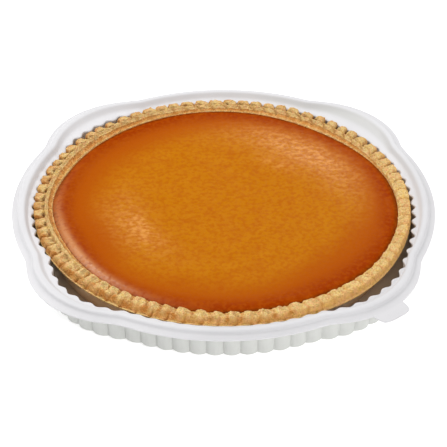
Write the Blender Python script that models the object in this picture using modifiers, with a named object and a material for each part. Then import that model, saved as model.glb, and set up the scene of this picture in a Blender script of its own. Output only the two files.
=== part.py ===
"""A ten-inch pumpkin pie in its foil tin, on a lobed, fluted plastic tray.

The tray is one thin moulded sheet: a round floor, a fluted wall, a narrow ledge, a raised
bead and a sloping flange that ends in a small pull tab. The tin is a plain foil pan whose
rim hides under the pastry. The crust is a pastry shell with a crimped rim, and the custard
filling lies inside it. The front is -Y, and the origin is the middle of the tray's underside.
"""
import math

import bmesh
import bpy

# Driving dimensions, in metres.
CRUST_RADIUS = 0.1251         # trimmed edge of the pastry rim
FILLING_RADIUS = 0.1142       # custard's edge where it meets the rim
CRUST_SHIFT = -0.0007         # the pastry touches the tray's wall at -X
FILLING_SHIFT = 0.0015        # the custard sits off centre, so the rim is wider at -X
TRAY_HEIGHT = 0.0280          # underside to the top of the raised bead
SHEET = 0.0008                # thickness of the moulded plastic
FOIL = 0.0005                 # thickness of the tin
GAP = 0.0003                  # clearance between two pieces

# The tray's outline has four long sides and four lobes at the diagonals.
FLANGE_RADIUS = 0.1423
FLANGE_BULGE = 0.0107
LOBE_HALF_ANGLE = math.radians(17.5)
LOBE_SOFTNESS = 0.15
FLUTES = 76
FLUTE_DEPTH = 0.0026
COLUMNS_PER_FLUTE = 2

# The rim of the tray, measured inwards and down from the flange's edge and the bead's top.
FLANGE_WIDTH = 0.0037
FLANGE_DROP = 0.0034
FLANGE_FOOT_DROP = 0.0021
BEAD_OUTER_INSET = 0.0044
BEAD_INNER_INSET = 0.0086
LEDGE_OUTER_INSET = 0.0110
LEDGE_INNER_INSET = 0.0130
LEDGE_DROP = 0.0038
WALL_TOP_INSET = 0.0147
WALL_TOP_DROP = 0.0050
WALL_FOOT_INSET = 0.0152
FLOOR_EDGE_INSET = 0.0186
FLOOR_ROUND = 0.0012
BULGE_LOSS = 0.22             # metres of bulge lost per metre of inset

TAB_ANGLE = math.radians(-48.0)
TAB_HALF_ANGLE = math.radians(4.9)
TAB_LENGTH = 0.0085
TAB_TAPER = 0.86

# The pastry shell.
CRIMPS = 76
COLUMNS_PER_CRIMP = 3
CRIMP_TWIST = 0.45            # share of a crimp by which each one leans
PASTRY = 0.0036
FILLING_TOP = 0.0240
RIM_CREST = 0.0272
CRUST_BASE_RADIUS = 0.1130
RIM_EDGE_HEIGHT = 0.0212
RIM_UNDERSIDE = 0.0198
WALL_TOP_RADIUS = 0.1212
PINCH_DEPTH = 0.0013
CREST_OUTER_INSET = 0.0018    # from the trimmed edge in to the crest's outer side
CREST_INNER_INSET = 0.0032    # from the inner lip out to the crest's inner side
CREST_TILT = 0.0010

# The tin follows the pastry's outer wall and stops short of its trimmed edge.
TIN_STEPS = 60
TIN_CLEARANCE = 0.0006
TIN_RIM_INSET = 0.0009

# The custard's gently uneven top, as shares of its radius and heights over its edge.
FILLING_STEPS = 60
SURFACE_PROFILE = ((0.0, -0.0004), (0.6, -0.0004), (0.96, 0.0))


def clear_scene():
    """Remove every object that the file opened with."""
    for obj in list(bpy.data.objects):
        bpy.data.objects.remove(obj, do_unlink=True)


def make_material(name, colour, roughness, metallic=0.0):
    """Return a Principled material of one colour."""
    material = bpy.data.materials.new(name)
    material.use_nodes = True
    shader = material.node_tree.nodes["Principled BSDF"]
    shader.inputs["Base Color"].default_value = (*colour, 1.0)
    shader.inputs["Roughness"].default_value = roughness
    shader.inputs["Metallic"].default_value = metallic
    return material


def add_object(name, mesh, material, collection):
    """Put a mesh in the scene as an object with one material."""
    obj = bpy.data.objects.new(name, mesh)
    obj.data.materials.append(material)
    collection.objects.link(obj)
    return obj


def loft(bm, rings):
    """Join rings of equal length with quads, and return the rings as vertices."""
    rows = [[bm.verts.new(point) for point in ring] for ring in rings]
    for lower, upper in zip(rows, rows[1:]):
        count = len(lower)
        for i in range(count):
            j = (i + 1) % count
            bm.faces.new((lower[i], lower[j], upper[j], upper[i]))
    return rows


def finish_mesh(bm, name, sharp_degrees):
    """Turn the bmesh into a mesh that is shaded smooth between its sharp edges."""
    mesh = bpy.data.meshes.new(name)
    bm.to_mesh(mesh)
    bm.free()
    mesh.shade_smooth()
    mesh.set_sharp_from_angle(angle=math.radians(sharp_degrees))
    return mesh


def lobe_share(theta):
    """Return how far the outline bulges at an angle: 1 on a diagonal, 0 along a side."""
    off_diagonal = (theta % (math.pi / 2)) - math.pi / 4
    dome = 1.0 - (off_diagonal / LOBE_HALF_ANGLE) ** 2
    return 0.5 * (dome + math.hypot(dome, LOBE_SOFTNESS))


def tray_ring(inset, height, flute_depth=0.0):
    """Return one ring of the tray's sheet, at an inset from the edge of the flange."""
    count = FLUTES * COLUMNS_PER_FLUTE
    bulge = FLANGE_BULGE - BULGE_LOSS * inset
    points = []
    for i in range(count):
        theta = 2.0 * math.pi * i / count
        flute = 0.5 * flute_depth * math.cos(FLUTES * theta)
        radius = FLANGE_RADIUS - inset + bulge * lobe_share(theta) + flute
        points.append((radius * math.cos(theta), radius * math.sin(theta), height))
    return points


def add_pull_tab(bm, edge_ring):
    """Extend the flange's edge into a short flat tab on the lobe at the front right."""
    count = len(edge_ring)
    chosen = []
    for i, vert in enumerate(edge_ring):
        theta = 2.0 * math.pi * i / count
        off = (theta - TAB_ANGLE + math.pi) % (2.0 * math.pi) - math.pi
        if abs(off) <= TAB_HALF_ANGLE:
            chosen.append((off, vert))
    chosen.sort(key=lambda item: item[0])
    outer = []
    for off, vert in chosen:
        theta = TAB_ANGLE + off * TAB_TAPER
        radius = math.hypot(vert.co.x, vert.co.y) + TAB_LENGTH
        outer.append(bm.verts.new((radius * math.cos(theta), radius * math.sin(theta), vert.co.z)))
    inner = [vert for _, vert in chosen]
    for k in range(len(inner) - 1):
        bm.faces.new((inner[k], inner[k + 1], outer[k + 1], outer[k]))


def build_tray(material, collection):
    """Model the tray as its upper skin, thickened downwards."""
    top = TRAY_HEIGHT
    rings = [
        tray_ring(FLOOR_EDGE_INSET, SHEET),
        tray_ring(WALL_FOOT_INSET, SHEET + FLOOR_ROUND, FLUTE_DEPTH),
        tray_ring(WALL_TOP_INSET, top - WALL_TOP_DROP, FLUTE_DEPTH),
        tray_ring(LEDGE_INNER_INSET, top - LEDGE_DROP),
        tray_ring(LEDGE_OUTER_INSET, top - LEDGE_DROP),
        tray_ring(BEAD_INNER_INSET, top),
        tray_ring(BEAD_OUTER_INSET, top),
        tray_ring(FLANGE_WIDTH, top - FLANGE_FOOT_DROP),
        tray_ring(0.0, top - FLANGE_DROP),
    ]
    bm = bmesh.new()
    rows = loft(bm, rings)
    bm.faces.new(rows[0])
    add_pull_tab(bm, rows[-1])
    bmesh.ops.recalc_face_normals(bm, faces=bm.faces[:])
    floor = min(bm.faces, key=lambda face: face.calc_center_median().z)
    if floor.normal.z < 0.0:
        bmesh.ops.reverse_faces(bm, faces=bm.faces[:])
    tray = add_object("tray", finish_mesh(bm, "tray", 35.0), material, collection)
    sheet = tray.modifiers.new("sheet", "SOLIDIFY")
    sheet.thickness = SHEET
    sheet.offset = -1.0
    return tray


def crimp_wave(phase):
    """Return 0 at the pinch between two crimps and 1 on the crown of each crimp."""
    return abs(math.sin(math.pi * phase)) ** 0.5


def crust_ring(radius, height, shift=0.0, pinch_in=0.0, pinch_down=0.0, twist=0.0):
    """Return one ring of the pastry, drawn in and down at each pinch."""
    count = CRIMPS * COLUMNS_PER_CRIMP
    points = []
    for i in range(count):
        theta = 2.0 * math.pi * i / count
        lack = 1.0 - crimp_wave(i / COLUMNS_PER_CRIMP)
        turned = theta + twist * 2.0 * math.pi / CRIMPS
        reach = radius - pinch_in * lack
        points.append((reach * math.cos(turned) + shift, reach * math.sin(turned),
                       height - pinch_down * lack))
    return points


def crust_base():
    """Return the height of the pastry's underside, which rests in the tin."""
    return SHEET + GAP + FOIL + GAP


def inner_wall_radius(height):
    """Return the radius of the pastry's inner wall at a height, from its own centre."""
    floor = crust_base() + PASTRY
    base = CRUST_BASE_RADIUS - PASTRY
    top = FILLING_RADIUS + GAP
    return base + (top - base) * (height - floor) / (FILLING_TOP - floor)


def build_crust(material, collection):
    """Model the pastry shell with its row of leaning crimps."""
    base = crust_base()
    lip_height = FILLING_TOP + 0.25 * (RIM_CREST - FILLING_TOP)
    lip_radius = inner_wall_radius(lip_height)
    crest_outer = CRUST_RADIUS - CREST_OUTER_INSET
    crest_inner = lip_radius + CREST_INNER_INSET
    rings = [
        crust_ring(CRUST_BASE_RADIUS, base, CRUST_SHIFT),
        crust_ring(WALL_TOP_RADIUS, RIM_UNDERSIDE, CRUST_SHIFT),
        crust_ring(CRUST_RADIUS, RIM_EDGE_HEIGHT, CRUST_SHIFT, pinch_in=0.3 * PINCH_DEPTH),
        crust_ring(crest_outer, RIM_CREST - CREST_TILT, CRUST_SHIFT, pinch_in=PINCH_DEPTH,
                   pinch_down=0.6 * PINCH_DEPTH),
        crust_ring(crest_inner, RIM_CREST, 0.7 * FILLING_SHIFT, pinch_in=-0.8 * PINCH_DEPTH,
                   pinch_down=0.8 * PINCH_DEPTH, twist=CRIMP_TWIST),
        crust_ring(lip_radius, lip_height, FILLING_SHIFT, pinch_in=-0.5 * PINCH_DEPTH,
                   twist=CRIMP_TWIST),
        crust_ring(inner_wall_radius(base + PASTRY), base + PASTRY, FILLING_SHIFT,
                   twist=CRIMP_TWIST),
    ]
    bm = bmesh.new()
    rows = loft(bm, rings)
    bm.faces.new(rows[0])
    bm.faces.new(rows[-1])
    bmesh.ops.recalc_face_normals(bm, faces=bm.faces[:])
    return add_object("crust", finish_mesh(bm, "crust", 60.0), material, collection)


def turned_object(name, profile, steps, material, collection):
    """Turn a profile of radius and height pairs about the vertical axis."""
    bm = bmesh.new()
    verts = [bm.verts.new((radius, 0.0, height)) for radius, height in profile]
    for a, b in zip(verts, verts[1:]):
        bm.edges.new((a, b))
    obj = add_object(name, finish_mesh(bm, name, 35.0), material, collection)
    turn = obj.modifiers.new("turn", "SCREW")
    turn.axis = "Z"
    turn.angle = 2.0 * math.pi
    turn.steps = steps
    turn.render_steps = steps
    turn.use_merge_vertices = True
    turn.merge_threshold = 0.00001
    return obj


def build_tin(material, collection):
    """Model the foil tin as a turned sheet just outside the pastry."""
    base = SHEET + GAP
    profile = (
        (CRUST_RADIUS - TIN_RIM_INSET, RIM_EDGE_HEIGHT - TIN_CLEARANCE - FOIL),
        (WALL_TOP_RADIUS + TIN_CLEARANCE + FOIL, RIM_UNDERSIDE - TIN_CLEARANCE - FOIL),
        (CRUST_BASE_RADIUS + TIN_CLEARANCE + FOIL, base),
        (0.0, base),
    )
    tin = turned_object("tin", profile, TIN_STEPS, material, collection)
    tin.location.x = CRUST_SHIFT
    sheet = tin.modifiers.new("foil", "SOLIDIFY")
    sheet.thickness = FOIL
    sheet.offset = -1.0
    return tin


def build_filling(material, collection):
    """Model the custard as a turned slab with a slightly sunken top."""
    floor = crust_base() + PASTRY + GAP
    rim = inner_wall_radius(FILLING_TOP) - GAP
    profile = [(share * rim, FILLING_TOP + rise) for share, rise in SURFACE_PROFILE]
    profile.append((rim, FILLING_TOP - 0.0005))
    profile.append((inner_wall_radius(floor) - GAP, floor))
    profile.append((0.0, floor))
    filling = turned_object("filling", profile, FILLING_STEPS, material, collection)
    filling.location.x = FILLING_SHIFT
    return filling


def main():
    """Build the pie in its tray."""
    clear_scene()
    collection = bpy.data.collections.new("pumpkin pie")
    bpy.context.scene.collection.children.link(collection)
    build_tray(make_material("white plastic", (0.76, 0.76, 0.75), 0.35), collection)
    build_tin(make_material("foil", (0.60, 0.59, 0.58), 0.35, 1.0), collection)
    build_crust(make_material("baked pastry", (0.66, 0.40, 0.17), 0.6), collection)
    build_filling(make_material("pumpkin custard", (0.50, 0.16, 0.02), 0.3), collection)


main()
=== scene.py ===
"""Looks of a ten-inch pumpkin pie in its foil tin, on a lobed plastic tray.

Every piece is a surface worked out on a grid of two parameters: the angle round the pie and
the distance along a cross-section. Lengths are in metres. +Z is up, -Y is the front, and the
angle runs anticlockwise from +X, seen from above.
"""
import logging
import math
from dataclasses import dataclass, fields
from enum import Enum, IntEnum

import bpy
import numpy as np
from bpy.types import Material, Mesh, Node, NodeSocket, NodeTree
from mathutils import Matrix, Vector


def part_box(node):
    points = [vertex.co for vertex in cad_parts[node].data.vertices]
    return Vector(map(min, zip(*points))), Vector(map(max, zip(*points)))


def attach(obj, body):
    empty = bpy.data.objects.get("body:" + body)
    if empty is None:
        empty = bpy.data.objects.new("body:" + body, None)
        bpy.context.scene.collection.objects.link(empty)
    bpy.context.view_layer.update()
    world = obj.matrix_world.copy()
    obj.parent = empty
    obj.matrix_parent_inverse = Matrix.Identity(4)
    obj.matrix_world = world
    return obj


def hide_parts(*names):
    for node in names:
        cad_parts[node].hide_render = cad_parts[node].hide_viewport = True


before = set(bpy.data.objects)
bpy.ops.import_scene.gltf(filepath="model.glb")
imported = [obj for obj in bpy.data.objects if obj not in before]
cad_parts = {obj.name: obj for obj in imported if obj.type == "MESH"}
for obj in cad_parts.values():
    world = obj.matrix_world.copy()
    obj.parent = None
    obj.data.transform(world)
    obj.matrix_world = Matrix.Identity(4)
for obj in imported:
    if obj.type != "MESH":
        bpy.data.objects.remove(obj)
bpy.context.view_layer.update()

LOG = logging.getLogger("pumpkin_pie")
MM = 0.001
CRIMP_COUNT = 76
FLUTE_COUNT = 76
WALL_SPREAD = 0.8  # share of the rim's spread that the walls of the tin and shell take up

Array = np.ndarray
Row = tuple[float, ...]


class Seed(IntEnum):
    """Seeds of the random reliefs. The crimps also use the four after their own."""

    ROUGH = 3
    FINE_ROUGH = 4
    WANDER = 5
    SKIN = 8
    FINE_SKIN = 9
    CRIMPS = 17
    RING = 21
    PLEATS = 31


# ---- shapes


def smooth(x: Array, low: float, high: float) -> Array:
    """Ease from 0 at low to 1 at high: 3t^2 - 2t^3, with t the clipped share of the way.

    Low may be over high, for a ramp that falls.
    """
    t = np.clip((x - low) / (high - low), 0.0, 1.0)
    return t * t * (3.0 - 2.0 * t)


def bump(x: Array, centre: float, width: float) -> Array:
    """Return a bell curve, exp(-((x - centre) / width)^2)."""
    return np.exp(-(((x - centre) / width) ** 2))


def arc_bump(theta: Array, middle: float, width: float) -> Array:
    """Return a bell curve of the angle off a middle, both in degrees, that closes round."""
    off = (theta - math.radians(middle) + math.pi) % (2 * math.pi) - math.pi
    return bump(off, 0.0, math.radians(width))


def bumps(theta: Array, *rows: Row) -> Array:
    """Return a sum of bell curves of the angle: rows of size, middle and width in degrees."""
    return sum(size * arc_bump(theta, middle, width) for size, middle, width in rows)


def ring_angles(count: int) -> Array:
    """Return the angles of count points spaced evenly round a ring."""
    return np.arange(count) * 2 * math.pi / count


def polar(radius: Array, theta: Array, height: Array, shift: Array = 0.0) -> Array:
    """Return points at radii, angles and heights round an axis that is moved along X."""
    radius, theta, height = np.broadcast_arrays(radius, theta, height)
    return np.stack([shift + radius * np.cos(theta), radius * np.sin(theta), height], -1)


def lattice_noise(u: Array, v: Array, cells: tuple[int, int], seed: int) -> Array:
    """Smooth random relief that repeats once in u.

    Random heights sit on a lattice of cells, and each point blends its four corners with
    eased weights.

    Args:
        u: Share of a full turn, any value.
        v: Share across, from 0 to 1.
        cells: Lattice cells round and across.
        seed: Seed of the random heights.

    Returns:
        Heights between -1 and 1, in the shape of u and v.
    """
    nu, nv = cells
    heights = np.random.default_rng(seed).uniform(-1.0, 1.0, (nu, nv + 2))
    x, y = (u % 1.0) * nu, np.clip(v, 0.0, 1.0) * nv
    i, j = np.floor(x).astype(int), np.floor(y).astype(int)
    a, b = smooth(x - i, 0.0, 1.0), smooth(y - j, 0.0, 1.0)
    i0, i1 = i % nu, (i + 1) % nu
    low = heights[i0, j] * (1.0 - a) + heights[i1, j] * a
    high = heights[i0, j + 1] * (1.0 - a) + heights[i1, j + 1] * a
    return low * (1.0 - b) + high * b


def rounded_profile(points: Array, rounding: Array, steps: int) -> Array:
    """Round the corners of an open profile.

    Each inner corner is replaced by a quadratic Bezier arc whose ends lie the rounding length
    back along both sides, or half a side where that is shorter.

    Args:
        points: Corners, one row each. The first two columns are lengths, and any further
            column is carried along.
        rounding: Rounding length at each corner.
        steps: Points on each arc.

    Returns:
        The rounded profile, with as many columns as points.
    """
    rows = [points[:1]]
    t = np.linspace(0.0, 1.0, steps)[:, None]
    for before, corner, after, reach in zip(points, points[1:], points[2:], rounding[1:]):
        back, on = before - corner, after - corner
        back_length, on_length = np.hypot(*back[:2]), np.hypot(*on[:2])
        start = corner + back * min(0.5, reach / back_length)
        end = corner + on * min(0.5, reach / on_length)
        rows.append((1 - t) ** 2 * start + 2 * t * (1 - t) * corner + t ** 2 * end)
    rows.append(points[-1:])
    return np.concatenate(rows)


def signed_volume(verts: Array, triangles: Array) -> float:
    """Return the volume inside a closed mesh, negative where its faces point inwards."""
    a, b, c = (verts[triangles[:, k]] for k in range(3))
    return float(np.einsum("ij,ij->i", a, np.cross(b, c)).sum() / 6.0)


def closed_mesh(name: str, grid: Array, start: Row, end: Row) -> Mesh:
    """Make a closed mesh from rings that run from one pole to the other.

    Args:
        name: Name of the mesh.
        grid: Points as (ring, column, xyz). The columns close round each ring.
        start: Pole that closes the first ring.
        end: Pole that closes the last ring.

    Returns:
        A smooth mesh whose faces point outwards.
    """
    rings, columns, _ = grid.shape
    verts = np.concatenate([grid.reshape(-1, 3), [start, end]])
    index = np.arange(rings * columns).reshape(rings, columns)
    turned = np.roll(index, -1, axis=1)
    quads = np.stack([index[:-1], turned[:-1], turned[1:], index[1:]], -1).reshape(-1, 4)
    first = np.full(columns, rings * columns)
    start_fan = np.stack([first, turned[0], index[0]], -1)
    end_fan = np.stack([first + 1, index[-1], turned[-1]], -1)
    halves = np.concatenate([quads[:, [0, 1, 2]], quads[:, [0, 2, 3]], start_fan, end_fan])
    if signed_volume(verts, halves) < 0.0:
        quads, start_fan, end_fan = quads[:, ::-1], start_fan[:, ::-1], end_fan[:, ::-1]
    mesh = bpy.data.meshes.new(name)
    mesh.from_pydata(verts.tolist(), [], quads.tolist() + start_fan.tolist() + end_fan.tolist())
    mesh.shade_smooth()
    mesh.update()
    return mesh


def add_mask(mesh: Mesh, name: str, values: Array) -> None:
    """Store a value for each grid point of a mesh from closed_mesh, with 0 at its poles."""
    layer = mesh.attributes.new(name, "FLOAT", "POINT")
    layer.data.foreach_set("value", np.append(values.ravel(), (0.0, 0.0)).astype(np.float32))


def offset_grid(grid: Array, thickness: float) -> Array:
    """Return a grid moved along its normals, for the other skin of a sheet.

    The normal is the cross product of the slopes round and along the grid, as unit length.

    Args:
        grid: points of the sheet.
        thickness: how far to move them.

    Returns:
        The moved points.
    """
    around = np.roll(grid, -1, axis=1) - np.roll(grid, 1, axis=1)
    along = np.gradient(grid, axis=0)
    normal = np.cross(around, along)
    normal /= np.linalg.norm(normal, axis=-1, keepdims=True)
    return grid + normal * thickness


def add_object(name: str, data: bpy.types.ID) -> bpy.types.Object:
    """Put an object with the given data in the scene.

    Args:
        name: name of the object.
        data: its mesh, lamp or camera.

    Returns:
        The new object.
    """
    obj = bpy.data.objects.new(name, data)
    bpy.context.scene.collection.objects.link(obj)
    return obj


def add_piece(mesh: Mesh, node: str, finish: Material) -> None:
    """Show a mesh with a finish in place of a node of the frame, under a material slot.

    Args:
        mesh: mesh to show.
        node: node it replaces.
        finish: material to wear.
    """
    piece = add_object(mesh.name, mesh)
    mesh.materials.append(finish)
    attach(piece, "root")
    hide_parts(node)
    LOG.info("%s: %d faces, stands for %s", mesh.name, len(mesh.polygons), node)


# ---- finishes


class Nodes:
    """A short way to add and join the nodes of one material or group."""

    def __init__(self, tree: NodeTree) -> None:
        """Start on an existing node tree."""
        self.tree = tree

    def add(self, kind: str, **values: object) -> Node:
        """Add a node and set its options and its sockets.

        Args:
            kind: Node type, such as ShaderNodeMix.
            values: Options by name. A name that starts with in_ sets that numbered input, and
                a socket given as value is linked.

        Returns:
            The new node.
        """
        node = self.tree.nodes.new(kind)
        for name, value in values.items():
            key = name.removeprefix("in_")
            if key == name:
                setattr(node, name, value)
            else:
                self.feed(node.inputs[int(key) if key.isdigit() else key], value)
        return node

    def feed(self, socket: NodeSocket, value: object) -> None:
        """Link a socket, or set its value.

        Args:
            socket: input of a node.
            value: an output to link, or a plain value.
        """
        if isinstance(value, NodeSocket):
            self.tree.links.new(value, socket)
        else:
            socket.default_value = value

    def math(self, operation: str, a: object, b: object = 0.0, clamp: bool = False) -> object:
        """Return the output of a math node on two values."""
        return self.add("ShaderNodeMath", operation=operation, use_clamp=clamp, in_0=a,
                        in_1=b).outputs[0]

    def scaled(self, value: object, factor: float, offset: float) -> object:
        """Return value x factor + offset."""
        return self.add("ShaderNodeMath", operation="MULTIPLY_ADD", in_0=value, in_1=factor,
                        in_2=offset).outputs[0]

    def blend(self, share: object, a: object, b: object) -> object:
        """Return colour a where share is 0 and colour b where it is 1."""
        return self.add("ShaderNodeMix", data_type="RGBA", in_0=share, in_6=a,
                        in_7=b).outputs[2]

    def ramp(self, value: object, low: float, high: float) -> object:
        """Return value eased from 0 at low to 1 at high."""
        return self.add("ShaderNodeMapRange", interpolation_type="SMOOTHSTEP", in_0=value,
                        in_1=low, in_2=high).outputs[0]

    def noise(self, place: object, scale: float, detail: float = 2.0) -> object:
        """Return the grey value of a noise texture at a place."""
        return self.add("ShaderNodeTexNoise", in_Vector=place, in_Scale=scale,
                        in_Detail=detail).outputs[0]

    def mask(self, name: str) -> object:
        """Return a mask that the mesh carries."""
        return self.add("ShaderNodeAttribute", attribute_name=name).outputs["Fac"]

    def layer(self, shown: object, share: object, most: float, paint: tuple) -> object:
        """Return a colour with paint laid over it, at most as much as given."""
        return self.blend(self.math("MULTIPLY", share, most), shown, paint)

    def scatter(self, shown: object, place: object, specks: "Specks") -> object:
        """Return a colour with specks laid over it.

        Args:
            shown: colour under the specks.
            place: the place on the piece.
            specks: the specks to lay.

        Returns:
            The colour with the specks.
        """
        noise = self.noise(place, specks.scale, specks.detail)
        return self.layer(shown, self.ramp(noise, specks.low, specks.high), specks.most,
                          specks.paint)


def colour(red: float, green: float, blue: float) -> tuple[float, float, float, float]:
    """Return a linear colour from the three shares of a display colour.

    Each share c becomes ((c + 0.055) / 1.055)^2.4, or c / 12.92 where it is small.

    Args:
        red: share of red.
        green: share of green.
        blue: share of blue.

    Returns:
        The linear colour and an alpha of 1.
    """
    shares = np.array((red, green, blue)) / 255.0
    linear = np.where(shares > 0.04045, ((shares + 0.055) / 1.055) ** 2.4, shares / 12.92)
    return (*linear.tolist(), 1.0)


@dataclass(frozen=True)
class Specks:
    """Spots of paint, laid where a noise is over low and eased in up to high."""

    scale: float
    detail: float
    low: float
    high: float
    most: float
    paint: tuple


def speckle_group() -> NodeTree:
    """Build the group that gives coarse mottling and fine grain at a place, from 0 to 1.

    Returns:
        The node group.
    """
    group = bpy.data.node_groups.new("mottle_and_grain", "ShaderNodeTree")
    for name, way, kind in (("Place", "INPUT", "Vector"), ("Mottle Scale", "INPUT", "Float"),
                            ("Grain Scale", "INPUT", "Float"), ("Mottle", "OUTPUT", "Float"),
                            ("Grain", "OUTPUT", "Float")):
        group.interface.new_socket(name=name, in_out=way, socket_type="NodeSocket" + kind)
    nodes = Nodes(group)
    given = nodes.add("NodeGroupInput")
    result = nodes.add("NodeGroupOutput")
    mottle = nodes.noise(given.outputs[0], given.outputs[1], 3.0)
    grain = nodes.noise(given.outputs[0], given.outputs[2], 4.0)
    nodes.feed(result.inputs[0], nodes.ramp(mottle, 0.3, 0.7))
    nodes.feed(result.inputs[1], nodes.ramp(grain, 0.25, 0.75))
    return group


@dataclass(frozen=True)
class Finish:
    """What every finish of the pie has. Its mottle and its grain run from 0 to 1."""

    name: str
    roughness: float
    mottle_scale: float
    grain_scale: float
    bump_height: float
    roughness_spread: float  # how much the roughness varies with the grain
    inputs: tuple = ()       # constant inputs of the shader, as name and value

    def paint(self, nodes: Nodes, place: object, mottle: object, grain: object) -> tuple:
        """Return the shader's inputs by name, and the height of the relief, at a place."""
        raise NotImplementedError

    def build(self, speckle: NodeTree) -> Material:
        """Return the material, with its roughness varied by the grain of the speckle.

        Args:
            speckle: the group that mottles.

        Returns:
            The material.
        """
        material = bpy.data.materials.new(self.name)
        material.use_nodes = True
        nodes = Nodes(material.node_tree)
        shader = material.node_tree.nodes["Principled BSDF"]
        place = nodes.add("ShaderNodeTexCoord").outputs["Object"]
        mottle, grain = nodes.add("ShaderNodeGroup", node_tree=speckle, in_0=place,
                                  in_1=self.mottle_scale, in_2=self.grain_scale).outputs
        painted, height = self.paint(nodes, place, mottle, grain)
        low = self.roughness - 0.5 * self.roughness_spread
        lift = nodes.add("ShaderNodeBump", in_Distance=self.bump_height, in_Strength=1.0,
                         in_Height=height)
        for name, value in (*self.inputs, *painted.items(), ("Normal", lift.outputs[0]),
                            ("Roughness", nodes.scaled(grain, self.roughness_spread, low))):
            nodes.feed(shader.inputs[name], value)
        return material


@dataclass(frozen=True)
class Plastic(Finish):
    """White moulded sheet, with a painted warm reflection in its well and painted shade on its
    outer wall and a slope behind.
    """

    base: tuple = colour(222, 221, 223)
    shade: tuple = colour(217, 216, 218)
    painted_warm_reflection: tuple = colour(224, 208, 186)
    painted_wall_shade: tuple = colour(206, 207, 203)
    painted_slope_shade: tuple = colour(204, 204, 202)

    def paint(self, nodes: Nodes, place: object, mottle: object, grain: object) -> tuple:
        """Return the look of the plastic.

        Args:
            nodes: the nodes of the material.
            place: the place on the piece; not used.
            mottle: coarse mottling.
            grain: fine grain; not used.

        Returns:
            What the finish is built from.
        """
        shown = nodes.blend(mottle, self.base, self.shade)
        # Painted warm reflection of the foil and crust down in the well.
        shown = nodes.blend(nodes.mask("well"), shown, self.painted_warm_reflection)
        # Painted shade on the outer wall below the flange.
        shown = nodes.blend(nodes.mask("wall"), shown, self.painted_wall_shade)
        # Painted shade on the bead's inner slope at the back right.
        shown = nodes.blend(nodes.mask("slope"), shown, self.painted_slope_shade)
        return {"Base Color": shown}, mottle


@dataclass(frozen=True)
class Foil(Finish):
    """Bare aluminium foil, a little crumpled, tinted warm as a painted reflection of the crust.
    """

    # Warm colours: a painted reflection of the brown crust on the grey metal.
    base: tuple = colour(250, 234, 214)
    shade: tuple = colour(236, 206, 174)

    def paint(self, nodes: Nodes, place: object, mottle: object, grain: object) -> tuple:
        """Return the look of the foil."""
        shown = nodes.blend(mottle, self.base, self.shade)
        return {"Base Color": shown}, mottle


@dataclass(frozen=True)
class Pastry(Finish):
    """Baked pastry: painted highlight on the crowns, amber browning partly painted shade, painted
    shade in the pinches.
    """

    # Pale colour for the painted highlight on the crests.
    crest_highlight: tuple = colour(255, 228, 158)
    body: tuple = colour(255, 196, 112)
    straw: tuple = colour(252, 204, 106)
    peach: tuple = colour(255, 192, 130)
    # Amber for browning, partly painted shade.
    toasted_and_shaded: tuple = colour(214, 138, 58)
    olive: tuple = colour(184, 142, 66)
    # Painted shade in the pinches and grooves.
    pinch: tuple = colour(132, 80, 28)
    tint_scale: float = 420.0

    def paint(self, nodes: Nodes, place: object, mottle: object, grain: object) -> tuple:
        """Return the look of the pastry.

        Args:
            nodes: the nodes of the material.
            place: the place on the piece.
            mottle: coarse mottling.
            grain: fine grain.

        Returns:
            What the finish is built from.
        """
        # Painted highlight on the crests and lips, over the body colour.
        shown = nodes.blend(nodes.mask("crest_highlight"), self.body, self.crest_highlight)
        shown = nodes.layer(shown, mottle, 0.35, self.body)
        tint = nodes.noise(place, self.tint_scale)
        shown = nodes.layer(shown, nodes.ramp(tint, 0.50, 0.62), 0.75, self.peach)
        dull = nodes.math("SUBTRACT", 1.0, nodes.ramp(tint, 0.36, 0.47))
        shown = nodes.layer(shown, dull, 0.6, self.straw)
        # Amber browning, partly painted shade on the low parts and the sloping band.
        brown_and_shade = nodes.math("MULTIPLY", nodes.mask("toasted_and_shaded"),
                           nodes.math("ADD", mottle, 0.45), True)
        shown = nodes.blend(brown_and_shade, shown, self.toasted_and_shaded)
        # Painted shade in the pinches, grooves, furrows and creases.
        shown = nodes.blend(nodes.mask("pinch"), shown, self.pinch)
        for specks in (Specks(900.0, 2.0, 0.56, 0.72, 0.5, self.crest_highlight),       # flour
                       Specks(900.0, 3.0, 0.57, 0.64, 0.5, self.toasted_and_shaded),     # crumbs
                       Specks(600.0, 3.0, 0.57, 0.63, 0.35, self.olive)):     # flecks
            shown = nodes.scatter(shown, place, specks)
        height = nodes.math("ADD", grain, nodes.math("MULTIPLY", mottle, 0.5))
        return {"Base Color": shown}, height


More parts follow.
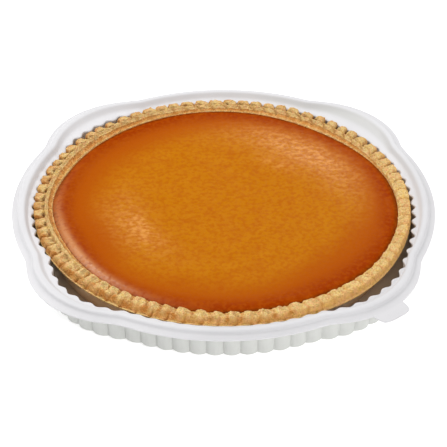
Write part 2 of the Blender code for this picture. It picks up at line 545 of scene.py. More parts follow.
@dataclass(frozen=True)
class Custard(Finish):
    """Baked pumpkin custard: amber in the middle and redder towards the rim, with painted sheen,
    a painted highlight and painted shade at its edge.
    """

    middle: tuple = colour(191, 114, 10)
    pale: tuple = colour(199, 125, 22)
    ring: tuple = colour(176, 82, 9)
    edge: tuple = colour(153, 54, 1)
    # Painted shade where the custard meets the crust.
    seam: tuple = colour(120, 52, 6)
    # Pale colour for the painted highlight on the shoulder.
    painted_highlight: tuple = colour(228, 168, 114)
    # Paler colour for painted sheen on the patches.
    painted_sheen: tuple = colour(222, 150, 72)
    film_scale: float = 500.0
    wrinkle_scale: float = 200.0
    fine_scale: float = 330.0
    pore_scale: float = 1500.0

    def paint(self, nodes: Nodes, place: object, mottle: object, grain: object) -> tuple:
        """Return the look of the custard.

        Args:
            nodes: the nodes of the material.
            place: the place on the piece.
            mottle: coarse mottling.
            grain: fine grain.

        Returns:
            What the finish is built from.
        """
        film = nodes.ramp(nodes.noise(place, self.film_scale, 5.0), 0.25, 0.75)
        wet = nodes.math("MULTIPLY", nodes.mask("sheen"), film)
        shown = nodes.layer(self.middle, mottle, 0.5, self.pale)
        # The last of these, the seam, is painted shade at the join with the crust.
        for name, paint in (("ring", self.ring), ("edge", self.edge), ("seam", self.seam)):
            shown = nodes.blend(nodes.mask(name), shown, paint)
        shown = nodes.scatter(shown, place, Specks(75.0, 5.0, 0.44, 0.72, 0.35, self.ring))
        across = nodes.add("ShaderNodeMapping", in_Vector=place, in_Scale=(1.0, 1.6, 1.0))
        wrinkle = nodes.ramp(nodes.noise(across.outputs[0], self.wrinkle_scale, 6.0), 0.42, 0.6)
        # Painted sheen on the patches, broken up by the wrinkles.
        painted_sheen = nodes.math("MULTIPLY", nodes.mask("painted_sheen"), nodes.scaled(wrinkle, 0.9, 0.25))
        shown = nodes.blend(painted_sheen, shown, self.painted_sheen)
        # Painted highlight on the shoulder at the front left.
        highlight_share = nodes.ramp(nodes.noise(place, self.fine_scale, 4.0), 0.2, 0.62)
        highlight_share = nodes.math("MULTIPLY", nodes.mask("painted_highlight"), nodes.scaled(highlight_share, 0.75, 0.25))
        shown = nodes.blend(highlight_share, shown, self.painted_highlight)
        fine = Specks(self.fine_scale, 5.0, 0.42, 0.64, 0.42, self.ring)
        shown = nodes.scatter(shown, place, fine)
        pores = nodes.noise(place, self.pore_scale, 3.0)
        height = nodes.math("ADD", nodes.math("MULTIPLY", grain, 0.6), pores)
        height = nodes.math("ADD", height, nodes.math("MULTIPLY", wrinkle, 0.8))
        return {"Base Color": shown, "Coat Weight": wet}, height


# ---- the tray


# Each row is a share, and the middle and the width in degrees of where round the tray it acts.
OPENING_STRAY = (
    (-2.5, 60.0, 46.0),    # back right
    (-0.9, 124.0, 18.0),   # back left
    (-0.9, 152.0, 34.0),   # left
    (-1.5, -150.0, 8.0),   # front left
    (-0.55, -92.0, 28.0),  # front
    (2.6, -27.0, 13.0),    # front right
)
TIGHT_LOBES = ((0.9, 44.0, 22.0), (0.4, 135.0, 22.0))  # where the opening bulges less
FLAT_WAVE = ((0.9, -92.0, 26.0), (0.7, 55.0, 26.0))    # where its wave is flatter
DEEP_WAVE = (1.0, -15.0, 22.0)                         # where its wave is deeper
PAINTED_SHADE_SLOPE = (1.0, 50.0, 30.0)                         # where shade is painted on the bead's inner slope
PLAIN_WELL = ((1.0, -56.0, 10.0), (1.0, 92.0, 60.0))   # where the well has no painted warm reflection


@dataclass
class Tray:
    """The moulded plastic tray, one sheet from its floor to its flange."""

    radius: float
    height: float
    bulge: float = 10.7 * MM
    bulge_loss: float = 0.22
    opening: float = 1.3 * MM
    edge_strip: float = 0.5 * MM
    lobe_half_angle: float = math.radians(17.5)
    lobe_softness: float = 0.15
    flute_depth: float = 2.2 * MM
    sheet: float = 0.7 * MM
    tab_angle: float = math.radians(-48.0)
    tab_half_angle: float = math.radians(4.3)
    tab_length: float = 8.5 * MM
    tab_droop: float = 0.06
    floor_rows: Row = (0.08, 0.35, 0.6, 0.8, 0.93)
    tab_rows: Row = (0.1, 0.35, 0.65, 0.97, 1.0)
    columns_per_flute: int = 12
    arc_steps: int = 4

    def lobe_share(self, theta: Array) -> Array:
        """Return how far the outline bulges: 1 on a diagonal, 0 along a side.

        The dome 1 - (angle off the diagonal / half angle)^2 is cut off softly at 0, as
        (dome + sqrt(dome^2 + softness^2)) / 2.

        Args:
            theta: angles round the pie.

        Returns:
            The share at each angle.
        """
        off = theta % (math.pi / 2) - math.pi / 4
        dome = 1.0 - (off / self.lobe_half_angle) ** 2
        return 0.5 * (dome + np.hypot(dome, self.lobe_softness))

    def tab_share(self, theta: Array) -> Array:
        """Return the reach of the pull tab: 1 across it, falling round at its two sides.

        Args:
            theta: angles round the pie.

        Returns:
            The share at each angle.
        """
        off = (theta - self.tab_angle + math.pi) % (2 * math.pi) - math.pi
        inside = np.clip(1.0 - np.abs(off / self.tab_half_angle) ** 7, 0.0, 1.0)
        return inside ** (1.0 / 3.0)

    def profile(self) -> Array:
        """Return the upper skin's cross-section.

        Each row is an inset, a height, the flutes' share of their depth and the power that
        shapes them: under 1 they are broad ribs outside, and at 2 an even wave.

        Returns:
            The rows from the edge of the flange to the floor.
        """
        top, sheet = self.height / MM, self.sheet / MM
        corners = np.array([
            # inset, height over the underside, share of the flutes' depth, power, rounding
            (19.8, sheet, 0.0, 0.8, 0.0),
            (15.8, sheet, 0.95, 0.8, 0.5),
            (15.3, sheet + 0.6, 1.0, 0.8, 0.5),
            (15.0, top - 8.0, 1.0, 0.8, 2.0),
            (15.0, top - 4.9, 1.0, 2.0, 0.5),
            (14.7, top - 4.1, 0.95, 2.0, 0.5),
            (13.7, top - 3.9, 0.35, 2.0, 0.6),
            (11.0, top - 3.8, 0.0, 2.0, 1.3),
            (8.4, top + 0.1, 0.0, 2.0, 1.5),
            (4.5, top + 0.05, 0.0, 2.0, 1.4),
            (3.9, top - 2.0, 0.0, 2.0, 1.0),
            (self.edge_strip / MM, top - 3.4, 0.0, 2.0, 0.0),
        ]) * (MM, MM, 1.0, 1.0, MM)
        return rounded_profile(corners[:, :4], corners[:, 4], self.arc_steps)

    def skin(self, theta: Array) -> Array:
        """Return the upper skin from the middle of the floor to the edge of the flange.

        Radius = side radius - inset + bulge at that inset x lobe share + half the flute depth
        x a wave round the tray, 2 |sin(half the flute's angle)|^power - 1. The opening strays
        from that outline, and its wave is deeper at the right and almost flat in front.

        Args:
            theta: angles round the pie.

        Returns:
            The points of the skin.
        """
        inset, height, share, power = self.profile().T[:, :, None]
        wave = 2.0 * np.abs(np.sin(FLUTE_COUNT * theta / 2.0)) ** power - 1.0
        inner = smooth(inset, 9.0 * MM, 14.0 * MM)
        tight = 1.0 - bumps(theta, *TIGHT_LOBES) * inner
        bulge = (self.bulge - self.bulge_loss * inset) * tight
        radius = self.radius - inset + bulge * self.lobe_share(theta)
        radius = radius + inner * self.opening * (1.0 + bumps(theta, *OPENING_STRAY))
        tooth = smooth(power, 1.0, 2.0)
        deep = bumps(theta, DEEP_WAVE)
        wave = wave * (1.0 + tooth * (0.5 * deep - bumps(theta, *FLAT_WAVE))) - 0.5 * tooth * deep
        radius = radius + 0.5 * self.flute_depth * share * wave
        tab = self.tab_length * self.tab_share(theta)
        reach = np.array(self.tab_rows)[:, None]
        floor = np.array(self.floor_rows)[:, None]
        radius = np.concatenate([floor * radius[0], radius,
                                 radius[-1] + reach * (tab + self.edge_strip)])
        height = np.concatenate([height[0] + 0.0 * floor, height,
                                 height[-1] + 0.0 * reach]) + 0.0 * theta
        height[-len(reach):] -= self.tab_droop * reach * tab
        return polar(radius, theta, height)

    def build(self, finish: Material) -> None:
        """Build both skins of the tray as one closed sheet, with its masks.

        Args:
            finish: the white plastic.
        """
        theta = ring_angles(FLUTE_COUNT * self.columns_per_flute)
        upper = self.skin(theta)
        lower = offset_grid(upper, self.sheet)
        lower[..., 2] = np.maximum(lower[..., 2], 0.0)  # the flat underside
        grid = np.concatenate([upper, lower[::-1]])
        mesh = closed_mesh("tray_sheet", grid, (0.0, 0.0, self.sheet), (0.0, 0.0, 0.0))
        shelf = self.height - 5.0 * MM
        # The well's mask carries a painted warm reflection of the foil and crust.
        well = smooth(upper[..., 2], shelf, shelf - 9.0 * MM)
        for plain in PLAIN_WELL:
            well = well * (1.0 - bumps(theta, plain))
        # The wall mask carries painted shade on the outer wall below the flange.
        wall = smooth(lower[..., 2], shelf, shelf - 1.0 * MM)
        inset = self.profile()[:, 0]
        # The slope mask carries painted shade on the bead's inner slope.
        slope = smooth(inset, 7.6 * MM, 9.2 * MM) * smooth(inset, 12.0 * MM, 10.4 * MM)
        slope = np.pad(slope, (len(self.floor_rows), len(self.tab_rows)))
        slope = slope[:, None] * bumps(theta, PAINTED_SHADE_SLOPE)
        plain = 0.0 * well
        for name, over, under in (("well", well, plain), ("wall", plain, wall[::-1]),
                                  ("slope", slope, plain)):
            add_mask(mesh, name, np.concatenate([over, under]))
        add_piece(mesh, "tray", finish)


@dataclass(frozen=True)
class Outline:
    """How the hand-worked rim strays from two true circles."""

    sag: float = 1.3 * MM          # how much farther the rim lies in front than at the back
    front_right: float = 2.8 * MM  # spread of the trimmed edge at the front right
    side: float = 0.8 * MM         # spread of the trimmed edge at the left and the right
    wide_rim: float = 4.8 * MM     # how far the rim reaches in at the back right
    open_right: float = 3.0 * MM   # how far the custard reaches out at the front right
    open_left: float = 2.6 * MM    # how far it reaches out at the left

    def outer(self, theta: Array) -> Array:
        """Return the spread of the trimmed edge, as bell curves of the angle.

        Args:
            theta: angles round the pie.

        Returns:
            The spread at each angle.
        """
        return self.sag * (0.5 - 0.5 * np.sin(theta)) + bumps(
            theta, (self.front_right, -48.0, 26.0), (self.side, 180.0, 25.0),
            (self.side, -5.0, 25.0))

    def inner(self, theta: Array) -> Array:
        """Return the spread of the custard's edge, as bell curves of the angle."""
        return bumps(theta, (self.open_right, -28.0, 36.0), (self.open_left, 180.0, 16.0),
                     (-self.wide_rim, 52.0, 28.0), (0.9 * self.sag, -100.0, 40.0))


# ---- the tin


@dataclass
class Tin:
    """The foil tin that the pie was baked in, with its rim under the pastry."""

    outline: Outline
    shift: float
    rim_radius: float
    rim_height: float
    base_height: float
    wall_radius: float = 121.9 * MM
    wall_height: float = 19.4 * MM
    base_radius: float = 117.0 * MM
    foil: float = 0.4 * MM
    columns: int = 360
    pleats: int = 110
    pleat_depth: float = 0.25 * MM

    def build(self, finish: Material) -> None:
        """Build the tin: a turned sheet, pleated a little where its wall flares.

        Radius = profile radius - pleat depth x share x (0.5 + 0.5 noise) + part of the spread
        of the rim over it, eased in up the wall.

        Args:
            finish: the foil.
        """
        base, rim = self.base_height, self.rim_height
        corners = np.array([
            # radius, height, share of the pleats' depth
            (8.0 * MM, base, 0.0),
            (self.base_radius - 6.0 * MM, base, 0.0),
            (self.base_radius, base + 0.2 * MM, 0.3),
            (self.wall_radius, self.wall_height, 1.0),
            (self.rim_radius, rim, 0.6),
        ])
        rounding = np.array((0.0, 1.0, 2.5, 1.2, 0.0)) * MM
        radius, height, share = rounded_profile(corners, rounding, 6).T[:, :, None]
        theta = ring_angles(self.columns)
        across = np.linspace(0.0, 1.0, len(radius))[:, None]
        turn, across = np.broadcast_arrays(theta / (2 * math.pi), across)
        pleats = lattice_noise(turn, across, (self.pleats, 2), Seed.PLEATS)
        radius = radius - self.pleat_depth * share * (0.5 + 0.5 * pleats)
        spread = smooth(height, self.wall_height - 8.0 * MM, rim)
        radius = radius + WALL_SPREAD * self.outline.outer(theta) * spread
        outer = polar(radius, theta, height, self.shift)
        inner = outer.copy()
        inner[..., :2] *= 1.0 - self.foil / self.wall_radius
        inner[..., 2] += self.foil
        mesh = closed_mesh("foil_tin", np.concatenate([outer, inner[::-1]]),
                           (self.shift, 0.0, base), (self.shift, 0.0, base + self.foil))
        add_piece(mesh, "tin", finish)


# ---- the crust


@dataclass(frozen=True)
class Crimping:
    """How the rim is worked at one side of the pie. Lengths are in millimetres."""

    bank: float = 1.4        # width of the slope from the trimmed edge up to the crest
    groove: float = 1.5      # depth of the groove between two crimps
    width: float = 0.9       # half the width of that groove
    outer_gap: float = 0.0   # how much the groove widens towards the trimmed edge
    inner_gap: float = 0.0   # how much it widens towards the custard
    dome: float = 1.2        # how much a crimp is rounded from side to side
    scallop: float = 0.1     # how far each groove cuts into the inner edge
    stagger: float = 0.0     # share of the outer half that is moved on by half a crimp
    pinch: float = 0.0       # depth of the V pinched into each crimp
    pocket: float = 0.0      # depth of the pocket between each crimp and the inner strand
    lobe: float = 0.0        # height of the small outer lobe between two crimps
    furrow: float = 0.0      # depth of the furrow that parts the inner strand
    strand: float = 6.9      # distance of that furrow from the trimmed edge
    ridge: float = 0.0       # height of the inner strand over the crimps
    twist: float = 0.0       # depth of the slanting grooves of the inner strand
    lean: float = 0.2        # share of a crimp by which it leans across the rim
    toast_and_shade: float = 0.3       # how browned its low parts are, partly real browning and partly painted shade
    overhang: float = 0.0    # how far the top of each crimp leans out over its edge
    full: float = 0.0        # 1 where the crimps take up the whole width of the rim
    wrinkle: float = 0.0     # height of the fine wrinkles across the rim


class Side(Enum):
    """Where round the rim a style of crimping is at its purest, in degrees, and the style."""

    RIGHT = 5.0, Crimping(
        bank=1.0, groove=1.3, width=1.0, outer_gap=0.6, inner_gap=0.4, dome=0.2, scallop=1.0,
        pocket=0.2, furrow=0.1, lean=0.05, toast_and_shade=0.2, overhang=0.5, full=0.8, wrinkle=0.45)
    BACK_RIGHT = 50.0, Crimping(
        bank=2.0, groove=2.8, outer_gap=2.6, scallop=0.4, pocket=1.2, furrow=0.8, strand=5.6,
        ridge=-0.4, twist=1.0, lean=0.25, toast_and_shade=0.4, overhang=1.6)
    BACK = 90.0, Crimping(
        bank=1.6, outer_gap=0.8, dome=0.4, scallop=0.3, pocket=2.6, furrow=0.7, strand=5.3,
        ridge=-0.1, twist=1.0, lean=0.3, overhang=0.6)
    BACK_LEFT = 140.0, Crimping(
        groove=3.2, outer_gap=2.2, dome=0.8, pinch=0.3, pocket=1.8, furrow=0.5, strand=6.0,
        ridge=1.0, twist=0.2, lean=0.3, toast_and_shade=0.6, overhang=1.1)
    LEFT = 185.0, Crimping(
        groove=3.0, outer_gap=2.0, dome=0.9, pinch=0.5, pocket=2.0, furrow=0.5, strand=6.4,
        ridge=1.3, twist=0.1, lean=0.15, toast_and_shade=0.8, overhang=1.5)
    FRONT_LEFT = 232.0, Crimping(
        bank=3.0, groove=1.7, width=1.4, inner_gap=0.8, scallop=1.6, stagger=0.8, pinch=1.0,
        pocket=0.2, lobe=0.7, lean=0.25, toast_and_shade=0.9, full=1.0)
    FRONT = 268.0, Crimping(
        bank=3.6, groove=1.1, width=1.8, inner_gap=1.4, scallop=2.2, stagger=0.9, pinch=1.1,
        lobe=0.5, toast_and_shade=0.5, full=1.0)
    FRONT_RIGHT = 310.0, Crimping(
        bank=2.2, groove=0.8, width=1.3, inner_gap=1.0, dome=0.5, scallop=1.5, stagger=0.25,
        pinch=0.35, lobe=0.1, toast_and_shade=0.15, full=1.0, wrinkle=0.4)


@dataclass
class Crust:
    """The pastry shell with its crimped rim."""

    outline: Outline
    outer_shift: float
    outer_radius: float
    inner_shift: float
    inner_radius: float
    base_height: float
    filling_height: float
    crest_height: float
    crimp_zone: float = 8.8 * MM
    crimp_pitch: float = 10.3
    lip_spread: float = 0.3 * MM
    wall_radius: float = 121.2 * MM
    wall_height: float = 19.9 * MM
    base_radius: float = 113.0 * MM
    pastry: float = 3.6 * MM
    edge_height: float = 21.4 * MM
    lip_height: float = 22.8 * MM
    columns_per_crimp: int = 18
    crimp_rows: int = 44
    band_rows: int = 8

    def style(self, theta: Array) -> Crimping:
        """Blend the crimping round the rim, straight between the sides it is given for.

        Args:
            theta: angles round the pie.

        Returns:
            The crimping at each angle.
        """
        angles = [math.radians(side.value[0]) for side in Side]
        return Crimping(**{field.name: np.interp(
            theta, angles, [getattr(side.value[1], field.name) for side in Side],
            period=2 * math.pi) for field in fields(Crimping)})

    def crimps(self, t: Array, phase: Array, theta: Array, seed: int) -> tuple:
        """Work out the relief of the crimps.

        Each crimp is a low dome, 1 - (2a)^2, with a the share of a crimp off its middle. It
        rises from the trimmed edge over the bank's width. Grooves part the crimps, wide at an
        edge where their gap is large. Where the crimps are staggered, the grooves of the outer
        half lie near the middle of the crimps of the inner half. A furrow parts an inner
        strand, whose own grooves are half a crimp further on. A V and a pocket are pinched
        into each crimp, and a low lobe sits between two crimps near the edge. Fine wrinkles,
        sin(6 pi x crimps counted), run across the rim.

        Args:
            t: Distance in from the trimmed edge, in millimetres.
            phase: Crimps counted round the rim.
            theta: Angles round the pie.
            seed: Seed of the uneven sizes.

        Returns:
            Height over the lip and outward push, both in millimetres, and the masks of the
            painted highlight on the crowns, the browning that is partly painted shade, and
            the painted shade in the pinches and grooves.
        """
        s = self.style(theta)
        zone, pitch = self.crimp_zone / MM, self.crimp_pitch
        uneven = np.random.default_rng(seed)
        turn = theta / (2 * np.pi)
        phase = phase + 0.08 * lattice_noise(turn, t / zone, (280, 4), seed + 1)
        depth_in = t  # t wanders from here on, and depth_in stays true
        t = t + 0.5 * lattice_noise(turn, t / zone, (240, 4), seed + 2) * smooth(t, 0.0, 1.5)
        share = t / zone
        bow = 0.14 * np.sin(np.pi * np.clip(share, 0.0, 1.0))
        whole = phase + s.lean * (share - 0.5) - bow
        which = np.floor(whole).astype(int) % CRIMP_COUNT
        a = whole - np.floor(whole) - 0.5
        size, depth, nudge, slope = (
            uneven.uniform(low, high, CRIMP_COUNT)[which]
            for low, high in ((-1.0, 1.0), (0.6, 1.3), (-0.08, 0.08), (-0.5, 0.5)))

        between = (0.5 - np.abs(a)) * pitch
        notch = (0.5 - np.abs((a - 0.12) % 1.0 - 0.5)) * pitch
        low = s.stagger * smooth(t, 5.8, 3.0)
        reach = (s.width + s.outer_gap * smooth(t, 6.0, 0.0)
                 + s.inner_gap * smooth(t, 4.0, zone))
        cut = smooth(between, reach, 0.0) * (1.0 - low)
        cut = cut + smooth(notch, 1.9, 0.0) * low
        round_off = (2.0 * a) ** 2 * (1.0 - low) + (1.0 - 2.0 * notch / pitch) ** 2 * low

        parted = np.clip(s.furrow / 0.3, 0.0, 1.0)
        inner = smooth(t, s.strand - 0.4, s.strand + 0.6) * parted
        furrow = bump(t, s.strand, 0.6)
        cut = cut * (1.0 - inner)
        b = (whole + 0.35 + 0.6 * share) % 1.0 - 0.5
        seam = bump((0.5 - np.abs(b)) * pitch, 0.0, 1.1) * inner
        crest = (self.crest_height - self.lip_height) / MM
        fall = 0.4 * smooth(t, 6.4 + 0.8 * s.full, zone + 0.2)
        rise = smooth(t, 0.0, s.bank) * (1.0 - fall)
        worked = smooth(depth_in, 0.1, 1.1)
        crumple = lattice_noise(turn, share, (230, 3), seed + 4)
        wrinkle = np.sin(2 * np.pi * (3.0 * whole + 0.5 * crumple)) * (0.6 + 0.4 * crumple)
        wrinkle = s.wrinkle * wrinkle * worked

        x = (a - 0.12 - nudge) * pitch
        y = t - 6.1
        arm = np.abs(np.abs(y) - 0.5 * (x + 1.9))
        wedge = bump(arm, 0.0, 0.62) * smooth(x, -2.2, -1.4) * smooth(x, 2.6, 1.4)
        hollow = bump(y, 0.0, 0.8) * bump(x, 0.5, 1.3)
        pinch = s.pinch * depth * (0.7 * wedge + 0.5 * hollow)
        pocket = bump(t, s.strand - 0.7, 0.9) * bump(x, 1.2, 1.5)
        pinch = pinch + s.pocket * depth * pocket
        lobe = bump(between, 0.0, 1.9) * bump(t, 2.4, 1.2) * depth
        height = (rise * (crest * (1.0 + 0.08 * size) + slope * a) + wrinkle
                  - worked * (s.dome * round_off * (1.0 - inner) + s.groove * cut)
                  + s.ridge * inner - s.twist * seam - s.furrow * furrow
                  - pinch + s.lobe * lobe)

        leaning = smooth(depth_in, 0.2, 1.2) * smooth(depth_in, 5.0, 1.6)
        push = ((s.scallop * cut + wrinkle + 0.3 * crumple) * smooth(depth_in, 4.5, zone)
                - 0.6 * s.outer_gap * cut * smooth(depth_in, 3.0, 0.0)
                + s.overhang * leaning * (1.0 - cut))

        # Painted highlight on the crests and on the trimmed lip, lessened in the grooves, furrows
        # and twists.
        lip_seen = 0.2 + 0.8 * s.stagger
        crest_highlight = ((1.0 - 0.8 * cut) * smooth(t, 0.6, 2.0 + 0.5 * s.bank)
                 + lip_seen * smooth(depth_in, 0.8, 0.4))
        crest_highlight = crest_highlight * (1.0 - 0.6 * furrow * parted) * (1.0 - seam)
        crest_highlight = crest_highlight + np.clip(s.ridge, 0.0, 1.0) * inner
        # Browning of the lobes, staggered notches and low slopes: partly real, partly painted
        # shade.
        patch = smooth(lattice_noise(turn, t / zone, (150, 2), seed + 3), 0.0, 0.7)
        spots = 1.2 * lobe + 0.5 * (cut * low + patch + smooth(t, 4.5, 0.8))
        toasted_and_shaded = np.clip(1.2 * s.toast_and_shade * spots * smooth(depth_in, 0.5, 1.0), 0.0, 1.0)
        # Painted shade in the pinches, grooves, gaps, wrinkle troughs, furrows and twists, and a
        # line above the trimmed lip.
        painted_recess_shade = (0.42 * pinch + 0.24 * np.clip(cut - 0.35, 0.0, 1.0) * s.groove
                + 0.22 * s.outer_gap * smooth(cut, 0.2, 0.8) * smooth(depth_in, 5.0, 1.5)
                - 0.3 * np.minimum(wrinkle, 0.0) + 0.25 * furrow * s.furrow
                + 0.4 * seam * s.twist
                + bump(depth_in, 0.75, 0.3) * (0.35 + 0.4 * cut) * lip_seen)
        return height, push, crest_highlight, toasted_and_shaded, np.clip(painted_recess_shade, 0.0, 0.85)

    def rim(self, theta: Array) -> tuple:
        """Work out the rim's top from the trimmed edge in to the custard.

        The rim is as wide as the space between two circles with different centres. Its first
        stretch is the crimps, of one width, and a plain sloping band takes up the rest.

        Args:
            theta: Angles round the pie.

        Returns:
            The points as (row, column, xyz) and the three masks.
        """
        outer = self.outer_radius + self.outline.outer(theta)
        inner = self.inner_radius + self.outline.inner(theta)
        width = outer - inner - (self.inner_shift - self.outer_shift) * np.cos(theta)
        full = self.style(theta).full
        zone = self.crimp_zone + full * np.maximum(width - self.crimp_zone - 0.5 * MM, 0.0)
        crimps = np.linspace(0.0, 1.0, self.crimp_rows)[:, None] * zone
        band = np.linspace(0.0, 1.0, self.band_rows + 1)[1:, None]
        spare = np.maximum(width - zone, 0.15 * MM)
        t = np.concatenate([crimps, zone + band * spare])
        turn = theta / (2 * math.pi)
        phase = CRIMP_COUNT * turn + 0.2 * lattice_noise(turn, 0.0 * turn, (38, 1), Seed.WANDER)
        worked = np.minimum(t / zone, 1.0) * self.crimp_zone / MM
        height, push, crest_highlight, toasted_and_shaded, painted_recess_shade = self.crimps(
            worked, phase, theta + 0.0 * t, Seed.CRIMPS)
        inward = np.clip((t - zone) / spare, 0.0, 1.0)
        fade = smooth(inward, 0.5, 0.0)
        shoulder = (self.filling_height - 0.3 * MM - self.lip_height) / MM
        fold = 0.3 * np.sin(np.pi * inward) + 0.5 * bump(inward, 0.88, 0.12)
        height = (height * (1.0 - inward) + shoulder * inward
                  + np.clip(spare / (4 * MM), 0.0, 1.0) * fold)
        turn = turn + 0.0 * t
        rough = (0.32 * lattice_noise(turn, t / width, (300, 5), Seed.ROUGH)
                 + 0.42 * lattice_noise(turn, t / width, (640, 10), Seed.FINE_ROUGH))
        height = height + rough * smooth(worked, 0.4, 1.5)
        share = t / np.maximum(width, zone)
        radius = (outer + (inner - outer) * share + push * fade * MM
                  + self.lip_spread * smooth(worked, 4.0, 0.0))
        centre = self.outer_shift + (self.inner_shift - self.outer_shift) * share
        points = polar(radius, theta, self.lip_height + height * MM, centre)

        wide = np.clip(spare / (3 * MM), 0.0, 1.0)
        # Painted highlight along the inner edge of the rim.
        lip = smooth(inward, 0.7, 0.9)
        # The band is browned, partly as painted shade on its slope.
        browned_and_shaded = 0.9 * smooth(inward, 0.0, 0.15) * smooth(inward, 0.9, 0.6)
        browned_and_shaded = browned_and_shaded * (0.3 + 0.7 * wide) + 0.4 * lip
        # Painted shade along the crease where the crimps meet the band.
        painted_crease = 0.45 * bump(inward, 0.16, 0.16) * wide
        return points, (crest_highlight * fade + lip, toasted_and_shaded * fade + browned_and_shaded, painted_recess_shade * fade + painted_crease)

    def build(self, finish: Material) -> None:
        """Build the shell: underside, trimmed edge, rim and the wall behind the custard.

        Args:
            finish: the pastry.
        """
        theta = ring_angles(CRIMP_COUNT * self.columns_per_crimp)
        rim, masks = self.rim(theta)
        spread = self.outline.outer(theta)
        edge = self.outer_radius + spread
        floor = self.base_height + self.pastry
        below = [polar(radius, theta, height, self.outer_shift)[None] for radius, height in (
            (self.base_radius, self.base_height),
            (self.wall_radius + WALL_SPREAD * spread, self.wall_height),
            (edge - 0.6 * MM, self.edge_height - 0.2 * MM),
            (edge - 0.1 * MM, self.edge_height + 0.2 * MM),
            (edge, self.lip_height - 0.6 * MM))]
        opening = self.inner_radius + self.outline.inner(theta)
        behind = [polar(radius, theta, height, self.inner_shift)[None] for radius, height in (
            (opening - 0.6 * MM, self.filling_height - 2.0 * MM),
            (self.base_radius - self.pastry, floor))]
        grid = np.concatenate([*below, rim, *behind])
        mesh = closed_mesh("pastry_crust", grid, (self.outer_shift, 0.0, self.base_height),
                           (self.inner_shift, 0.0, floor))
        # Masks: painted highlight on the crests, browning partly painted shade, painted shade in
        # the pinches and grooves.
        for name, mask in zip(("crest_highlight", "toasted_and_shaded", "pinch"), masks):
            rows = (len(below), len(behind))
            add_mask(mesh, name, np.pad(mask, (rows, (0, 0)), mode="edge"))
        add_piece(mesh, "crust", finish)


# ---- the filling


@dataclass
class Filling:
    """The custard, with its faintly uneven skin."""

    outline: Outline
    shift: float
    radius: float
    height: float
    base_height: float
    base_radius: float = 108.5 * MM
    rings: int = 120
    columns: int = 720

    def skin(self, theta: Array, rho: Array) -> dict[str, Array]:
        """Return the moist sheen, the painted sheen of the patches and the painted highlight on
        the shoulder, from 0 to 1.

        Each sums products of bell curves of the angle and of rho, the share of the radius.

        Args:
            theta: angles round the pie.
            rho: shares of the radius.

        Returns:
            The masks by name.
        """
        right = bump(rho, 0.75, 0.13) * arc_bump(theta, 46.0, 34.0)
        left = bump(rho, 0.60, 0.12) * arc_bump(theta, 203.0, 30.0)
        rim = bump(rho, 0.970, 0.027) * arc_bump(theta, 209.0, 29.0)
        # The fold and the crease are painted highlights: a crescent at the left and streaks at
        # the back right.
        fold = smooth(rho, 0.47, 0.52) * smooth(rho, 0.68, 0.53) * arc_bump(theta, 208.0, 17.0)
        painted_crease = bump(rho, 0.53, 0.05) * arc_bump(theta, 52.0, 14.0)
        masks = {"sheen": 0.04 + 0.35 * right + 0.25 * left + 0.35 * rim,
                 "painted_sheen": 0.8 * right + 0.4 * left + 0.6 * fold + 0.5 * painted_crease, "painted_highlight": 0.85 * rim}
        return {name: np.clip(mask, 0.0, 1.0) for name, mask in masks.items()}

    def build(self, finish: Material) -> None:
        """Build the custard's skin and the plain slab under it.

        Height = level + two noises + a shallow dish in the middle + a raised shoulder near the
        edge - a drop at the edge, both most at the front left.

        Args:
            finish: the custard.
        """
        theta = ring_angles(self.columns)
        share = (np.arange(1, self.rings + 1) / self.rings)[:, None] ** 0.8
        turn, rho = np.broadcast_arrays(theta / (2 * math.pi), share)
        noise = (0.25 * lattice_noise(turn, rho, (9, 3), Seed.SKIN)
                 + 0.10 * lattice_noise(turn, rho, (24, 9), Seed.FINE_SKIN))
        side = np.clip(np.cos(theta - math.radians(212.0)), 0.0, 1.0) ** 0.7
        lift = (noise * smooth(rho, 0.05, 0.4) - 0.5 * smooth(rho, 0.95, 0.2)
                + (0.3 + 0.9 * side) * smooth(rho, 0.86, 0.95)
                - (0.5 + 1.0 * side) * smooth(rho, 0.955, 1.0))
        radius = (self.radius + self.outline.inner(theta)) * rho
        top = polar(radius, theta, self.height + lift * MM, self.shift)
        under = polar(self.base_radius, theta, self.base_height, self.shift)[None]
        mesh = closed_mesh("custard_filling", np.concatenate([top, under]),
                           (self.shift, 0.0, top[0, :, 2].mean()),
                           (self.shift, 0.0, self.base_height))
        stray = 0.05 * lattice_noise(turn, rho, (14, 4), Seed.RING)
        late = bumps(theta, (0.14, 50.0, 50.0), (0.06, 270.0, 50.0))
        # The seam mask is painted shade along the join with the crust.
        masks = {**self.skin(theta, rho), "ring": smooth(rho + stray - late, 0.60, 0.86),
                 "edge": smooth(rho + 0.5 * stray, 0.84, 0.96),
                 "seam": 0.9 * smooth(rho + 0.1 * stray, 0.974, 0.988)}
        for name, mask in masks.items():
            add_mask(mesh, name, np.pad(mask, ((0, 1), (0, 0)), mode="edge"))
        add_piece(mesh, "filling", finish)


# ---- the studio


@dataclass(frozen=True)
class Softbox:
    """A rectangular lamp that points at the pie."""

    name: str
    place: Row
    size: Row
    power: float

    def hang(self) -> None:
        """Add the lamp to the scene."""
        lamp = bpy.data.lights.new(self.name, "AREA")
        lamp.shape = "RECTANGLE"
        lamp.size, lamp.size_y = self.size
        lamp.energy = self.power
        obj = add_object(self.name, lamp)
        obj.location = self.place
        obj.rotation_euler = obj.location.normalized().to_track_quat("Z", "Y").to_euler()


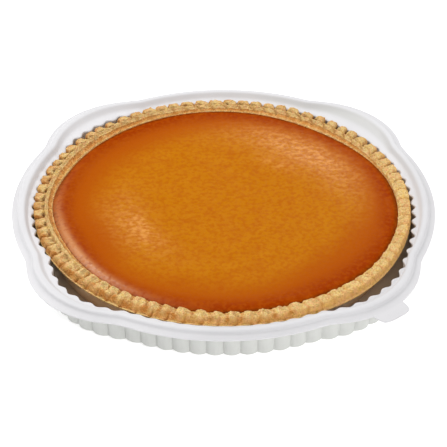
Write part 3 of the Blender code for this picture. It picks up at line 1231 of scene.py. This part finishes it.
@dataclass
class Studio:
    """The pale floor, the soft lights and the camera."""

    floor_size: float = 6.0
    floor_white: float = 0.97
    floor_glow: float = 0.42
    sky_strength: float = 0.49
    elevation: float = math.radians(36.9)
    distance: float = 0.997
    aim: Row = (0.0, -0.0230, 0.0230)
    lens: float = 120.8
    sensor: float = 36.0
    clip: Row = (0.01, 50.0)
    softboxes: tuple[Softbox, ...] = (
        Softbox("key_back_left", (-0.70, 0.55, 1.25), (0.42, 0.42), 13.6),
        Softbox("back_right", (0.20, 1.38, 0.95), (0.45, 0.3), 3.0),
        Softbox("front", (0.95, -1.05, 0.75), (0.7, 0.5), 7.4))

    def floor(self) -> None:
        """Lay a plain pale floor, which glows a little, under the tray."""
        corners = [(x * self.floor_size / 2, y * self.floor_size / 2, 0.0)
                   for x, y in ((-1, -1), (1, -1), (1, 1), (-1, 1))]
        mesh = bpy.data.meshes.new("floor")
        mesh.from_pydata(corners, [], [(0, 1, 2, 3)])
        material = bpy.data.materials.new("floor")
        material.use_nodes = True
        shader = material.node_tree.nodes["Principled BSDF"]
        for name, value in (("Base Color", (*[self.floor_white] * 3, 1.0)), ("Roughness", 0.9),
                            ("Specular IOR Level", 0.0), ("Emission Color", (1.0,) * 4),
                            ("Emission Strength", self.floor_glow)):
            shader.inputs[name].default_value = value
        mesh.materials.append(material)
        add_object("floor", mesh)

    def lights(self) -> None:
        """Light the pie softly from all round, most from above and behind."""
        world = bpy.data.worlds.new("studio")
        world.use_nodes = True
        sky = world.node_tree.nodes["Background"]
        sky.inputs["Color"].default_value = (1.0, 1.0, 1.0, 1.0)
        sky.inputs["Strength"].default_value = self.sky_strength
        bpy.context.scene.world = world
        for softbox in self.softboxes:
            softbox.hang()

    def camera(self) -> None:
        """Place the camera above the front, looking down at the pie."""
        data = bpy.data.cameras.new("camera")
        data.lens, data.sensor_width = self.lens, self.sensor
        data.clip_start, data.clip_end = self.clip
        obj = add_object("camera", data)
        ax, ay, az = self.aim
        obj.location = (ax, ay - self.distance * math.cos(self.elevation),
                        az + self.distance * math.sin(self.elevation))
        obj.rotation_euler = (math.pi / 2 - self.elevation, 0.0, 0.0)
        bpy.context.scene.camera = obj

    def build(self) -> None:
        """Build the whole studio."""
        self.floor()
        self.lights()
        self.camera()
        bpy.context.scene.view_settings.view_transform = "Standard"


def main() -> None:
    """Build the pie around the frame, then the studio."""
    logging.basicConfig(level=logging.INFO, format="%(name)s: %(message)s")
    _, tray_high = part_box("tray")
    tin_low, tin_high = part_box("tin")
    crust_low, crust_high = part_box("crust")
    fill_low, fill_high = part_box("filling")
    fill_shift = (fill_low.x + fill_high.x) / 2
    crust_shift = (crust_low.x + crust_high.x) / 2
    fill_radius = (fill_high.x - fill_low.x) / 2

    speckle = speckle_group()
    # roughness, mottle scale, grain scale, bump height, roughness spread and constant inputs
    plastic = Plastic("white_plastic", 0.5, 25.0, 400.0, 0.05 * MM, 0.1,
                      (("Specular IOR Level", 0.3),)).build(speckle)
    foil = Foil("foil", 0.425, 60.0, 900.0, 0.2 * MM, 0.15,
                (("Metallic", 1.0),)).build(speckle)
    pastry = Pastry("baked_pastry", 0.62, 260.0, 900.0, 0.7 * MM, 0.2,
                    (("Specular IOR Level", 0.25),)).build(speckle)
    custard = Custard("pumpkin_custard", 0.34, 70.0, 700.0, 0.12 * MM, 0.12,
                      (("Specular IOR Level", 0.0), ("Coat Roughness", 0.3))).build(speckle)

    Tray(radius=tray_high.x, height=tray_high.z).build(plastic)
    outline = Outline()
    Tin(outline, shift=crust_shift, rim_radius=(tin_high.x - tin_low.x) / 2,
        rim_height=tin_high.z, base_height=tin_low.z).build(foil)
    Crust(outline, outer_shift=crust_shift, outer_radius=(crust_high.x - crust_low.x) / 2,
          inner_shift=fill_shift, inner_radius=fill_radius, base_height=crust_low.z,
          filling_height=fill_high.z, crest_height=crust_high.z).build(pastry)
    Filling(outline, shift=fill_shift, radius=fill_radius, height=fill_high.z,
            base_height=fill_low.z).build(custard)
    Studio().build()


if __name__ == "__main__":
    main()
